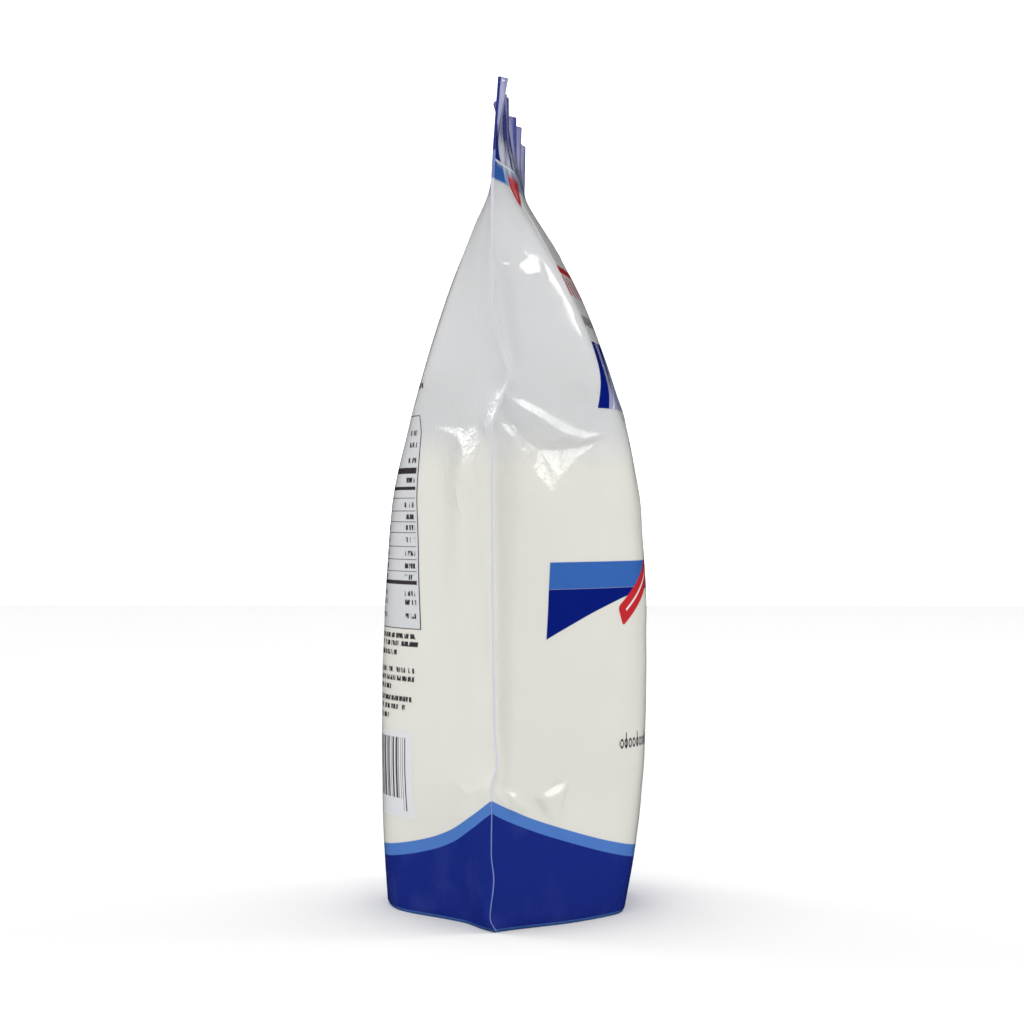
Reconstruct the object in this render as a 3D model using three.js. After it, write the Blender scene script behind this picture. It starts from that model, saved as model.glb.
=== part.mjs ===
// A filled flour bag of thin milky film, standing on its opened bottom gusset.
//
// The bag is one closed solid. Its skin is a stack of level sections. In every
// section the front and back film keep their flat width, so a section is found
// by bending a strip of that width until it bulges as far as the bag does there.
// Millimetres, +Z up, X across the bag from side weld to side weld, front at -Y.
import * as THREE from "three";

// ---------------------------------------------------------------- dimensions
const BAG_HEIGHT = 239; // floor to the top edge of the closed fin
const FILM_WIDTH = 165; // flat width of the film between the side welds
const FIN_HEIGHT = 20; // band pressed shut along the top
const FILM_PAIR = 0.9; // thickness given to front and back film where they touch
const WELD_BEAD = 0.8; // how far the melted side weld stands out
const FOLD_RADIUS = 1.2; // rounding of the bottom folds
const GUSSET_RELIEF = 5; // how high the gusset tents up under each end
const GUSSET_FLAT = 27; // half length of the gusset part that lies on the floor
const GUSSET_END = 5; // the tented part of the gusset ends this far from the weld
const FIN_WAVE_RUNOUT = 3; // how far below the fin its waves have died out
const WELD_PULL_FROM = 0.5; // share of the half film from which the weld's drift pulls

// The base outline is bowed forwards between its middle and the weld. The shares
// are of the half film: where the bow is full, and how fast it ends at the weld.
const BASE_BOW = { depth: 5.5, top: 45, fullFrom: 0.6, endShare: 0.35 };

const HALF_FILM = FILM_WIDTH / 2;
const FIN_BASE = BAG_HEIGHT - FIN_HEIGHT;

// How far the front and back film bulge from the middle plane, going up.
const BULGE = [
  { z: 0, front: 32.8, back: 38 },
  { z: 20, front: 37, back: 39.2 },
  { z: 50, front: 39.6, back: 39.8 },
  { z: 90, front: 40, back: 39 },
  { z: 120, front: 38.1, back: 36.7 },
  { z: 140, front: 34.8, back: 32.2 },
  { z: 160, front: 29, back: 26.8 },
  { z: 180, front: 21.5, back: 20 },
  { z: 200, front: 11, back: 11.6 },
  { z: 212, front: 3.4, back: 2.4 },
  { z: FIN_BASE, front: 0, back: 0.6 },
  { z: BAG_HEIGHT, front: 0, back: 0.6 },
];

// Where the soft ridge between side facet and face runs, as a share of the half
// film from the middle, how wide its bend is, and how much of the bend it takes.
const RIDGE = [
  { z: 0, place: 0.33, width: 0.26, share: 0.7 },
  { z: 40, place: 0.27, width: 0.6, share: 0.65 },
  { z: 100, place: 0.27, width: 0.8, share: 0.7 },
  { z: 140, place: 0.3, width: 0.5, share: 0.75 },
  { z: 160, place: 0.5, width: 0.3, share: 0.7 },
  { z: 180, place: 0.57, width: 0.16, share: 0.63 },
  { z: 200, place: 0.7, width: 0.12, share: 0.5 },
  { z: FIN_BASE, place: 0.93, width: 0.08, share: 0.35 },
  { z: BAG_HEIGHT, place: 0.93, width: 0.08, share: 0.35 },
];

// The side welds wander off the middle plane; both kink where the flour ends
// and again just above the gusset.
const WELD_DRIFT = [
  { z: 0, near: 1.8, far: 1.2 },
  { z: 4, near: 3.1, far: 0.4 },
  { z: 40, near: 3.3, far: -0.8 },
  { z: 47, near: 1.7, far: 0.6 },
  { z: 58, near: 2.4, far: 0.2 },
  { z: 128, near: 3, far: -1 },
  { z: 141, near: 3, far: 0.4 },
  { z: 150, near: 0.4, far: 2.6 },
  { z: 156, near: -1.7, far: 2.2 },
  { z: 165, near: 0.7, far: 0.3 },
  { z: 176, near: 2.4, far: -0.4 },
  { z: 208, near: 2.4, far: 0.6 },
  { z: FIN_BASE, near: 1.9, far: 0.4 },
  { z: BAG_HEIGHT, near: 0.8, far: 0.8 },
];

// Crests of the wavy top edge, as offsets from the plane of the fin.
const FIN_WAVES = [
  { x: -83, y: -0.4 },
  { x: -78, y: -1.8 },
  { x: -62, y: 1.4 },
  { x: -46, y: 0.6 },
  { x: -28, y: 3.2 },
  { x: 5, y: 0.4 },
  { x: 20, y: 2.6 },
  { x: 35, y: 0 },
  { x: 57, y: 2.4 },
  { x: 83, y: 0.1 },
];

// Dents are shallow three-cornered facets that the film folded into where it
// lies over the edge of the flour. Corners are (across, up) on the film.
const DENTS = [
  { side: "front", depth: 2.6, rim: 11, corners: [[-84, 151], [-30, 141], [-62, 123]] },
  { side: "back", depth: 1.6, rim: 9, corners: [[-35, 143], [-66, 124], [-77, 142]] },
  { side: "front", depth: 1.8, rim: 10, corners: [[84, 147], [64, 121], [38, 140]] },
  { side: "back", depth: 2.2, rim: 11, corners: [[84, 152], [28, 142], [58, 120]] },
];

// Long soft channels beside the welds and the pinched folds above the gusset.
const CHANNEL = { across: 78.5, width: 2.6, depth: 1.3, bottom: 45, top: 186, fade: 16 };
const PLEATS = [
  { side: "front", height: 1.3, width: 2.2, from: [-80, 40], dip: [-66, 34.5], to: [-48, 42] },
  { side: "back", height: 0.9, width: 2.4, from: [80, 39], dip: [64, 35], to: [50, 41] },
];

// Mesh fineness.
const COLUMNS = 46; // points across one film
const SECTION_STEPS = 110; // integration steps along half a film
const BEND_SEARCH_STEPS = 26;
const BASE_STRIPS = 6; // strips from front fold to back fold
const COLUMN_EVENNESS = 0.45; // 1 spreads the columns evenly, 0 crowds them at the welds
const ROW_BANDS = [
  { to: 32, step: 6.2 },
  { to: 50, step: 3 },
  { to: 118, step: 7.6 },
  { to: 160, step: 3.5 },
  { to: 204, step: 5.5 },
  { to: FIN_BASE, step: 3 },
  { to: BAG_HEIGHT, step: 4 },
];

// ------------------------------------------------------------------ helpers
const clamp01 = (value) => Math.min(1, Math.max(0, value));
const smooth = (value) => clamp01(value) ** 2 * (3 - 2 * clamp01(value));

// Smooth, never overshooting value of one column of a station list.
function along(stations, axis, key, at) {
  const last = stations.length - 1;
  if (at <= stations[0][axis]) return stations[0][key];
  if (at >= stations[last][axis]) return stations[last][key];
  const gap = (i, name) => stations[i + 1][name] - stations[i][name];
  const slope = (i) => gap(i, key) / gap(i, axis);
  const tangent = (i) => {
    if (i === 0) return slope(0);
    if (i === last) return slope(last - 1);
    const [below, above] = [slope(i - 1), slope(i)];
    return below * above <= 0 ? 0 : (2 * below * above) / (below + above);
  };
  let i = 0;
  while (at > stations[i + 1][axis]) i += 1;
  const span = gap(i, axis);
  const t = (at - stations[i][axis]) / span;
  const rest = 1 - t;
  return (
    stations[i][key] * (1 + 2 * t) * rest * rest +
    tangent(i) * span * t * rest * rest +
    stations[i + 1][key] * t * t * (3 - 2 * t) -
    tangent(i + 1) * span * t * t * rest
  );
}

// ----------------------------------------------------------------- sections
// Share of the full bend reached at q, from 0 in the middle to 1 at the weld.
function bendShare(q, z) {
  const place = along(RIDGE, "z", "place", z);
  const width = along(RIDGE, "z", "width", z);
  const share = along(RIDGE, "z", "share", z);
  const slow = (1 - share) * Math.min(q / place, 1);
  return slow + share * smooth((q - place) / width + 0.5);
}

// Half a section bent by an angle: x outwards and drop back towards the weld.
function bentHalf(shares, angle) {
  const step = HALF_FILM / SECTION_STEPS;
  const half = [{ x: 0, drop: 0, heading: 0 }];
  for (let i = 1; i <= SECTION_STEPS; i += 1) {
    const middle = (angle * (shares[i - 1] + shares[i])) / 2;
    const before = half[i - 1];
    half.push({
      x: before.x + step * Math.cos(middle),
      drop: before.drop + step * Math.sin(middle),
      heading: angle * shares[i],
    });
  }
  return half;
}

// The bend that makes the half section exactly as deep as the bag is there.
function sectionAt(z) {
  const front = along(BULGE, "z", "front", z);
  const back = along(BULGE, "z", "back", z);
  const depth = (front + back) / 2;
  const shares = [];
  for (let i = 0; i <= SECTION_STEPS; i += 1) shares.push(bendShare(i / SECTION_STEPS, z));
  let low = 0;
  let high = Math.PI / 2;
  for (let i = 0; i < BEND_SEARCH_STEPS; i += 1) {
    const angle = (low + high) / 2;
    const half = bentHalf(shares, angle);
    if (half[SECTION_STEPS].drop < depth) low = angle;
    else high = angle;
  }
  return { z, depth, middle: (back - front) / 2, half: bentHalf(shares, low) };
}

function halfPointAt(section, q) {
  const place = clamp01(q) * SECTION_STEPS;
  const i = Math.min(Math.floor(place), SECTION_STEPS - 1);
  const t = place - i;
  const [a, b] = [section.half[i], section.half[i + 1]];
  const mix = (key) => a[key] * (1 - t) + b[key] * t;
  return { x: mix("x"), drop: mix("drop"), heading: mix("heading") };
}

// ------------------------------------------------------------------- relief
// Signed distance inside a three-cornered outline whose corners run either way.
function insideTriangle(corners, s, z) {
  const [[ax, ay], [bx, by], [cx, cy]] = corners;
  const turn = Math.sign((bx - ax) * (cy - ay) - (by - ay) * (cx - ax));
  let nearest = Infinity;
  corners.forEach(([px, py], i) => {
    const [qx, qy] = corners[(i + 1) % 3];
    const distance = ((qx - px) * (z - py) - (qy - py) * (s - px)) / Math.hypot(qx - px, qy - py);
    nearest = Math.min(nearest, turn * distance);
  });
  return nearest;
}

function dentDepth(side, s, z) {
  let depth = 0;
  for (const dent of DENTS) {
    if (dent.side !== side) continue;
    depth += dent.depth * smooth(insideTriangle(dent.corners, s, z) / dent.rim);
  }
  return depth;
}

function channelDepth(s, z) {
  const across = (Math.abs(s) - CHANNEL.across) / CHANNEL.width;
  const up = smooth((z - CHANNEL.bottom) / CHANNEL.fade) * smooth((CHANNEL.top - z) / CHANNEL.fade);
  return CHANNEL.depth * up * Math.exp(-across * across);
}

// A pleat follows an arc through three points and stands out along it.
function pleatHeight(side, s, z) {
  let height = 0;
  for (const pleat of PLEATS) {
    if (pleat.side !== side) continue;
    const t = (s - pleat.from[0]) / (pleat.to[0] - pleat.from[0]);
    if (t < 0 || t > 1) continue;
    const chord = pleat.from[1] * (1 - t) + pleat.to[1] * t;
    const chordAtDip = (pleat.from[1] + pleat.to[1]) / 2;
    const line = chord + 4 * t * (1 - t) * (pleat.dip[1] - chordAtDip);
    const off = (z - line) / pleat.width;
    height += pleat.height * Math.sin(Math.PI * t) * Math.exp(-off * off);
  }
  return height;
}

const relief = (side, s, z) => pleatHeight(side, s, z) - dentDepth(side, s, z) - channelDepth(s, z);

// The waves of the fin die out just below the pressed band.
function finWave(x, z) {
  const grown = clamp01((z - FIN_BASE + FIN_WAVE_RUNOUT) / (FIN_HEIGHT + FIN_WAVE_RUNOUT));
  return grown * along(FIN_WAVES, "x", "y", x);
}

function baseBow(q, z) {
  const across = smooth(q / BASE_BOW.fullFrom) * smooth((1 - q) / BASE_BOW.endShare);
  return BASE_BOW.depth * across * smooth(1 - z / BASE_BOW.top);
}

// --------------------------------------------------------------- skin points
// Point on the front or back film at s across and at the section's height.
function filmPoint(section, side, s) {
  const outward = side === "front" ? -1 : 1;
  const q = Math.abs(s) / HALF_FILM;
  const end = Math.sign(s);
  const { x, drop, heading } = halfPointAt(section, q);
  const weld = along(WELD_DRIFT, "z", end < 0 ? "near" : "far", section.z);
  const pull = (weld - section.middle) * smooth((q - WELD_PULL_FROM) / (1 - WELD_PULL_FROM));
  const bump = relief(side, s, section.z);
  const px = end * (x + bump * Math.sin(heading));
  const bulge = section.depth - drop + FILM_PAIR / 2 + bump * Math.cos(heading);
  const py = section.middle + pull - baseBow(q, section.z) + outward * bulge;
  return new THREE.Vector3(px, py + finWave(px, section.z), section.z);
}

function weldTip(section, end) {
  const front = filmPoint(section, "front", end * HALF_FILM);
  const back = filmPoint(section, "back", end * HALF_FILM);
  const tip = front.clone().add(back).multiplyScalar(0.5);
  tip.x += end * WELD_BEAD;
  return tip;
}

function columnPlaces() {
  const places = [];
  for (let j = 0; j < COLUMNS; j += 1) {
    const t = (2 * j) / (COLUMNS - 1) - 1;
    const crowded = Math.sin((Math.PI * t) / 2);
    places.push(HALF_FILM * (COLUMN_EVENNESS * t + (1 - COLUMN_EVENNESS) * crowded));
  }
  return places;
}

function rowHeights() {
  const heights = [0, FOLD_RADIUS];
  for (const band of ROW_BANDS) {
    const start = heights[heights.length - 1];
    const count = Math.ceil((band.to - start) / band.step);
    for (let i = 1; i <= count; i += 1) heights.push(start + ((band.to - start) * i) / count);
  }
  return heights;
}

// One ring: near weld, front film to the far weld, then back film home again.
function ringAt(z, columns) {
  const section = sectionAt(z);
  const ring = [weldTip(section, -1)];
  columns.forEach((s) => ring.push(filmPoint(section, "front", s)));
  ring.push(weldTip(section, 1));
  [...columns].reverse().forEach((s) => ring.push(filmPoint(section, "back", s)));
  return ring;
}

// The bottom ring is the one above it, drawn in by the rounding of the fold.
function foldedRing(ring) {
  const reach = Math.hypot(ring[0].x, ring[0].y);
  const shrink = 1 - FOLD_RADIUS / reach;
  return ring.map((point) => new THREE.Vector3(point.x * shrink, point.y * shrink, 0));
}

// ---------------------------------------------------------------------- base
// The gusset lies flat in the middle and tents up a little towards each weld.
function gussetHeight(x, across, halfLength) {
  const outwards = smooth((Math.abs(x) - GUSSET_FLAT) / (halfLength - GUSSET_FLAT - FOLD_RADIUS));
  const endFade = smooth((halfLength - Math.abs(x)) / GUSSET_END);
  return GUSSET_RELIEF * outwards * endFade * (1 - Math.abs(across));
}

function gussetPoint(front, back, strip, halfLength) {
  const t = strip / BASE_STRIPS;
  const point = front.clone().lerp(back, t);
  point.z = gussetHeight(point.x, 2 * t - 1, halfLength);
  return point;
}

// ---------------------------------------------------------------------- mesh
class Skin {
  constructor() {
    this.positions = [];
    this.triangles = [];
  }

  add(point) {
    this.positions.push(point.x, point.y, point.z);
    return this.positions.length / 3 - 1;
  }

  triangle(a, b, c) {
    this.triangles.push(a, b, c);
  }

  quad(a, b, c, d) {
    this.triangle(a, b, c);
    this.triangle(a, c, d);
  }

  // The finished geometry, moved so that the origin is under the middle of its box.
  geometry() {
    const geometry = new THREE.BufferGeometry();
    geometry.setAttribute("position", new THREE.Float32BufferAttribute(this.positions, 3));
    geometry.setIndex(this.triangles);
    geometry.computeBoundingBox();
    const middle = geometry.boundingBox.getCenter(new THREE.Vector3());
    geometry.translate(-middle.x, -middle.y, 0);
    geometry.computeVertexNormals();
    return geometry;
  }
}

function addWalls(skin, rings) {
  for (let row = 0; row + 1 < rings.length; row += 1) {
    const [low, high] = [rings[row], rings[row + 1]];
    low.forEach((corner, i) => {
      const next = (i + 1) % low.length;
      skin.quad(corner, low[next], high[next], high[i]);
    });
  }
}

// Index on a ring of the front or back film point of a column.
const frontIndex = (column) => 1 + column;
const backIndex = (column) => 2 * COLUMNS + 1 - column;

function addTopEdge(skin, ring) {
  const last = COLUMNS - 1;
  skin.triangle(ring[0], ring[frontIndex(0)], ring[backIndex(0)]);
  for (let j = 0; j < last; j += 1) {
    skin.quad(ring[frontIndex(j)], ring[frontIndex(j + 1)], ring[backIndex(j + 1)], ring[backIndex(j)]);
  }
  skin.triangle(ring[frontIndex(last)], ring[COLUMNS + 1], ring[backIndex(last)]);
}

function addBase(skin, ring, points) {
  const last = COLUMNS - 1;
  const halfLength = Math.abs(points[0].x);
  const across = [];
  for (let j = 0; j <= last; j += 1) {
    const [front, back] = [points[frontIndex(j)], points[backIndex(j)]];
    const line = [ring[frontIndex(j)]];
    if (j > 0 && j < last) {
      for (let strip = 1; strip < BASE_STRIPS; strip += 1) {
        line.push(skin.add(gussetPoint(front, back, strip, halfLength)));
      }
    }
    line.push(ring[backIndex(j)]);
    across.push(line);
  }
  for (let j = 1; j + 1 < last; j += 1) {
    for (let k = 0; k < BASE_STRIPS; k += 1) {
      skin.quad(across[j][k], across[j][k + 1], across[j + 1][k + 1], across[j + 1][k]);
    }
  }
  addBaseEnd(skin, across[0], across[1], ring[0], false);
  addBaseEnd(skin, across[last], across[last - 1], ring[COLUMNS + 1], true);
}

// A fan closes the base between the last full line and the weld.
function addBaseEnd(skin, edge, line, tip, isFar) {
  const half = BASE_STRIPS / 2;
  const face = (a, b, c) => (isFar ? skin.triangle(a, c, b) : skin.triangle(a, b, c));
  const [front, back] = edge;
  face(tip, back, front);
  face(front, back, line[half]);
  for (let k = 0; k < half; k += 1) {
    face(front, line[k + 1], line[k]);
    face(back, line[half + k + 1], line[half + k]);
  }
}

function bagGeometry() {
  const columns = columnPlaces();
  const heights = rowHeights();
  const ringPoints = heights.map((z) => ringAt(z, columns));
  ringPoints[0] = foldedRing(ringPoints[1]);
  const skin = new Skin();
  const rings = ringPoints.map((points) => points.map((point) => skin.add(point)));
  addWalls(skin, rings);
  addTopEdge(skin, rings[rings.length - 1]);
  addBase(skin, rings[0], ringPoints[0]);
  return skin.geometry();
}

// --------------------------------------------------------------------- model
function filmMaterial() {
  return new THREE.MeshStandardMaterial({
    name: "milky_film",
    color: new THREE.Color(0.86, 0.86, 0.845),
    roughness: 0.32,
    metalness: 0,
  });
}

function flourBag() {
  const mesh = new THREE.Mesh(bagGeometry(), filmMaterial());
  mesh.name = "flour_bag";
  return mesh;
}

const bag = new THREE.Group();
bag.add(flourBag());

export default bag;
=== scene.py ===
"""A filled flour bag of milky film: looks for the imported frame.

Lengths are millimetres until a mesh is made. The film is described by two
coordinates that lie in it: s, across from the middle of the face (the weld that
faces the camera is at -HALF_FILM), and z, the height above the floor.
"""

import math

import bpy
import numpy as np
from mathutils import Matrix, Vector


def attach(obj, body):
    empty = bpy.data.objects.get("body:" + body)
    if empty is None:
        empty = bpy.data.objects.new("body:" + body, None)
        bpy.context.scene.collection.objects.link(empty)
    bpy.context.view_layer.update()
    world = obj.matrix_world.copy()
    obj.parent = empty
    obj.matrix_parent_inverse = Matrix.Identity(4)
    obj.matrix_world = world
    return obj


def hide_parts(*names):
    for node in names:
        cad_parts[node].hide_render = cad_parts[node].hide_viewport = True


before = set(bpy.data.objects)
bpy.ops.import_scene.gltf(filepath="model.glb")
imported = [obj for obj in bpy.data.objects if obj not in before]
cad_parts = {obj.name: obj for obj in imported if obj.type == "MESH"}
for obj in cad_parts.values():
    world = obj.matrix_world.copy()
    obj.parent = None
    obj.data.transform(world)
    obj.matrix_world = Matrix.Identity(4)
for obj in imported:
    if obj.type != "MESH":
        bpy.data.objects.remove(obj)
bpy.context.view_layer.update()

# ---- dimensions, mm ----
MM = 0.001
BAG_HEIGHT = 239.0
FILM_WIDTH = 165.0
HALF_FILM = FILM_WIDTH / 2
FIN_HEIGHT = 20.0
FIN_BASE = BAG_HEIGHT - FIN_HEIGHT
FILM_PAIR = 0.5  # front and back film pressed together
FILM_THICKNESS = 0.15
WELD_FLANGE = 0.8  # how far the films run on, joined, past the bag's inside
WELD_BEAD_RADIUS = 0.42
FOLD_RADIUS = 1.2
GUSSET_RELIEF = 5.0
GUSSET_FLAT = 27.0
GUSSET_END = 5.0
FIN_WAVES_FROM = 223.0
WELD_PULL_FROM = 0.5  # share of the half width from which a face leans over to the weld
WELD_WOBBLE_FROM = 0.86  # and from which it follows the weld's short swings
GUSSET_DEPTH = 80.0  # front to back, as stored in the gusset's part of the film map

# How far the front and back film bulge from the middle plane.
BULGE = {
    "z": [0, 20, 50, 90, 120, 140, 160, 180, 200, 212, FIN_BASE, 227, BAG_HEIGHT],
    "front": [32.8, 37, 39.6, 40, 38.1, 34.8, 29, 21.5, 11, 3.8, 1.6, 0, 0],
    "back": [38, 39.2, 39.8, 39, 36.7, 32.2, 26.8, 20, 11.6, 2.4, 0.6, 0.6, 0.6],
}
# The soft ridge between side facet and face: see bend_share.
RIDGE = {
    "z": [0, 40, 100, 140, 160, 180, 200, FIN_BASE, BAG_HEIGHT],
    "place": [0.33, 0.27, 0.27, 0.3, 0.5, 0.57, 0.7, 0.93, 0.93],
    "width": [0.26, 0.6, 0.8, 0.42, 0.2, 0.12, 0.1, 0.08, 0.08],
    "share": [0.7, 0.65, 0.7, 0.75, 0.76, 0.74, 0.6, 0.35, 0.35],
}
# How far the welds wander off the middle plane, towards the back.
NEAR_WELD = {
    "z": [0, 4, 15, 22, 34, 40, 47, 58, 128, 141, 150, 156, 165, 176, 208, FIN_BASE, BAG_HEIGHT],
    "drift": [1.4, 3.6, 2.6, 3.3, 3.2, 3.4, 1.7, 2.4, 3, 3, 0.4, -1.7, 0.7, 2.4, 2.4, 1.9, 0.8],
    "slow": [2.4, 2.6, 2.7, 2.8, 2.8, 2.7, 2.6, 2.5, 2.1, 1.5, 1.1, 0.9, 1.0, 1.6, 2.4, 1.9, 0.8],
}
FAR_WELD = {
    "z": [0, 4, 40, 47, 58, 128, 141, 150, 156, 165, 176, 208, FIN_BASE, BAG_HEIGHT],
    "drift": [1.2, 0.4, -0.8, 0.6, 0.2, -1, 0.4, 2.6, 2.2, 0.3, -0.4, 0.6, 0.4, 0.8],
    "slow": [0.6, 0.5, 0.2, 0.1, 0.1, 0.2, 0.6, 0.8, 0.8, 0.6, 0.4, 0.5, 0.4, 0.8],
}
BASE_BOW = {"depth": 5.5, "top": 45.0, "full_from": 0.6, "end_share": 0.35}
FIN_WAVES = {
    "x": [-83, -78, -56, -37, -28, 2, 9, 23, 34, 58, 72, 83],
    "offset": [-0.4, -2.0, 1.0, 0.3, 4.2, 2.2, -0.2, 2.2, -0.8, 2.2, 0.9, -0.4],
}
FIN_RIPPLE = {"height": 0.22, "length": 8.5}

# ---- print, mm ----
# The print is the same at both ends of a face unless its place is given by s.
INK_EDGE = 0.25  # softness of a printed edge
BAND_LOW = 18.5  # top of the blue band in the middle of the face
BAND_RISE = 18.4  # how much higher it is at the welds
BAND_BORDER = 3.6
BAND_FOOT_LINE = 0.9  # a light line runs round the foot
FOOT_LINE_SHARE = 0.8
SCUFF_SHARE = 0.07
HEADER_SKY_FROM = 210.8
HEADER_NAVY_FROM = 216.6
HEADER_GAP = 0.7
HEADER_PALE = (20.0, 66.0)  # between these |s| the header is rubbed pale
# Where white painted sheen lies low on the fin: its top and its |s| ends.
WHITE_SHEEN_TOP = 223.0
WHITE_SHEEN_ENDS = (36.0, 74.0)
FIN_END_SHEEN = (66.0, 12.0)  # more painted sheen on the fin beyond this |s|, with this blur
FIN_FOOT_SHEEN = (226.0, 8.0)  # and below this height
FIN_CORNER_LEAN = 0.8
FIN_CORNER = 160.6  # 0.8 |s| - z + this is 0 along the edge of the fin's dark corner
FIN_FOLD_SHADE = (75.4, 77.6)  # |s| of a darker line painted beside each end of the fin as the shade of its fold
WEDGE_TIP = {"end": 56.5, "z": 204.8}
WEDGE_TOP = 214.0
WEDGE_REACH = 4.5
WEDGE_OUTER_LEAN = 0.8
WEDGE_INNER_LEAN = 1.65
BANNER_HALF = 62.6
BANNER_TOP = 103.8
BANNER_SPLIT = 96.0
BANNER_LOW = 81.6
BANNER_ARC_RISE = 13.9
TAG_CENTRE = (-9.0, 98.0)
TAG_TILT = math.radians(29)
TAG_HALF_LENGTH = 22.0
TAG_HALF_HEIGHT = 3.3
TAG_ROUNDING = 1.4
TAG_LINE_HALF = 0.35
TAG_LINE_REACH = 18.0
PANEL_TOP = 168.0
PANEL_FOOT = 148.5
PANEL_HALF = 38.5
PANEL_BAR = (24.5, 31.5)  # a pale upright bar on each side of the panel
PANEL_LEAN = 0.8
PANEL_MIDDLE = 146.0  # |s| + 0.8 z along the edge of the pale middle
PANEL_RIM = 1.2
FRINGE_HALF = 47.0
RULE_BAND = (187.4, 189.6)
DASH_BAND = (181.0, 186.6)
DASH_PITCH = 8.0
DASH_HALF = 1.5
DASH_LEAN = 0.5
GREY_BAND = (172.6, 175.6)
GREY_PITCH = 3.4
GREY_HALF = 0.9
GREY_REACH = 40.0
RING_HEIGHT = 49.8
RING_PITCH = 2.7
RING_RADII = (0.6, 1.15)
RING_SQUASH = 0.6
RING_REACH = 28.8
RING_BAR_HALF = 0.32
RING_BAR_BAND = (48.2, 53.0)
TABLE_EDGE = -39.9  # s of the ruled table's near edge at its foot
TABLE_LEAN = 0.132  # the film is sheared here, so the edge leans by this
TABLE_TOP = 146.7
TABLE_FOOT = 83.7
TABLE_WIDTH = 64.0
TABLE_MARGIN = 1.2
THIN_RULES = (122.3, 118.5, 115.3, 112.1, 108.0, 104.2, 100.7)
THICK_RULES = ((130.4, 0.9), (125.2, 0.5), (97.4, 0.6))  # heights and half thicknesses
THIN_HALF = 0.1
TEXT_ROWS = (141.5, 138.0, 133.4, 127.6, 120.3, 116.8, 113.6, 110.0, 106.0, 102.3, 99.0, 94.2, 91.6, 87.6)
TEXT_HALF = 0.75
STROKE_DRIFT = 0.16  # how fast the strokes change from row to row
# Height and near end of each row of strokes under the table.
NOTE_LINES = (
    (81.6, -37), (79.3, -39), (76.6, -25), (71.5, -37), (69.0, -37), (66.4, -20),
    (63.0, -36), (60.5, -31), (57.8, -19),
)
NOTE_END = 27.0
TOP_NOTE = {"height": 155.2, "half": 0.8, "ends": (-37.5, 20.0)}
BARCODE_EDGE = -32.6
BARCODE_WIDTH = 34.0
BARCODE_TOP = 51.6
BARCODE_FOOT = 30.0
BARCODE_PITCH = 1.15
BARCODE_MARGIN = 3.4
BARCODE_PATCH = (28.0, 53.4)
GUARD = 2.6  # width of the tall bars at the near end
GUARD_DROP = 3.6

# ---- small maths ----


def clamp01(value):
    return np.clip(value, 0.0, 1.0)


def smooth(value):
    t = clamp01(value)
    return t * t * (3 - 2 * t)


def along(stations, key, at):
    """Smooth value of a station list that never overshoots its stations."""
    places = np.asarray(list(stations.values())[0], float)
    values = np.asarray(stations[key], float)
    gaps = np.diff(places)
    slopes = np.diff(values) / gaps
    tangents = np.empty_like(values)
    tangents[0], tangents[-1] = slopes[0], slopes[-1]
    below, above = slopes[:-1], slopes[1:]
    same_way = below * above > 0
    total = np.where(same_way, below + above, 1.0)
    tangents[1:-1] = np.where(same_way, 2 * below * above / total, 0.0)
    at = np.clip(np.asarray(at, float), places[0], places[-1])
    i = np.clip(np.searchsorted(places, at, side="right") - 1, 0, len(gaps) - 1)
    t = (at - places[i]) / gaps[i]
    rest = 1 - t
    start = values[i] * (1 + 2 * t) * rest**2 + tangents[i] * gaps[i] * t * rest**2
    end = values[i + 1] * t**2 * (3 - 2 * t) - tangents[i + 1] * gaps[i] * t**2 * rest
    return start + end


# ---- sections ----
SECTION_STEPS = 120
SECTION_PITCH = 0.5  # mm of height between the sections that are worked out
BEND_SEARCH_STEPS = 30


def bend_share(q, z):
    """Share of the bend reached at q: 0 in the middle of the face, 1 at the weld."""
    place = along(RIDGE, "place", z)
    width = along(RIDGE, "width", z)
    share = along(RIDGE, "share", z)
    slow = (1 - share) * np.minimum(q / place, 1.0)
    return slow + share * smooth((q - place) / width + 0.5)


def bent_half(shares, angle):
    """Half sections bent by an angle each: x outwards, drop towards the weld, heading."""
    step = HALF_FILM / SECTION_STEPS
    heading = angle[:, None] * shares
    middle = (heading[:, 1:] + heading[:, :-1]) / 2
    start = np.zeros((len(angle), 1))
    x = np.concatenate([start, np.cumsum(step * np.cos(middle), axis=1)], axis=1)
    drop = np.concatenate([start, np.cumsum(step * np.sin(middle), axis=1)], axis=1)
    return x, drop, heading


def section_table():
    """Sections every SECTION_PITCH up the bag, each as deep as the bag is there."""
    z = np.arange(0.0, BAG_HEIGHT + SECTION_PITCH, SECTION_PITCH)
    q = np.linspace(0.0, 1.0, SECTION_STEPS + 1)
    depth = (along(BULGE, "front", z) + along(BULGE, "back", z)) / 2
    shares = bend_share(q[None, :], z[:, None])
    low, high = np.zeros_like(z), np.full_like(z, math.pi / 2)
    for _ in range(BEND_SEARCH_STEPS):
        angle = (low + high) / 2
        shallow = bent_half(shares, angle)[1][:, -1] < depth
        low, high = np.where(shallow, angle, low), np.where(shallow, high, angle)
    x, drop, heading = bent_half(shares, low)
    return {"x": x, "drop": drop, "heading": heading}


SECTIONS = section_table()


def look_up(name, q, z):
    """Value of the section table between its rows and steps."""
    table = SECTIONS[name]
    row = np.clip(z / SECTION_PITCH, 0, table.shape[0] - 1.001)
    step = clamp01(q) * SECTION_STEPS * 0.999999
    i, j = row.astype(int), step.astype(int)
    u, v = row - i, step - j
    low = table[i, j] * (1 - v) + table[i, j + 1] * v
    high = table[i + 1, j] * (1 - v) + table[i + 1, j + 1] * v
    return low * (1 - u) + high * u


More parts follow.
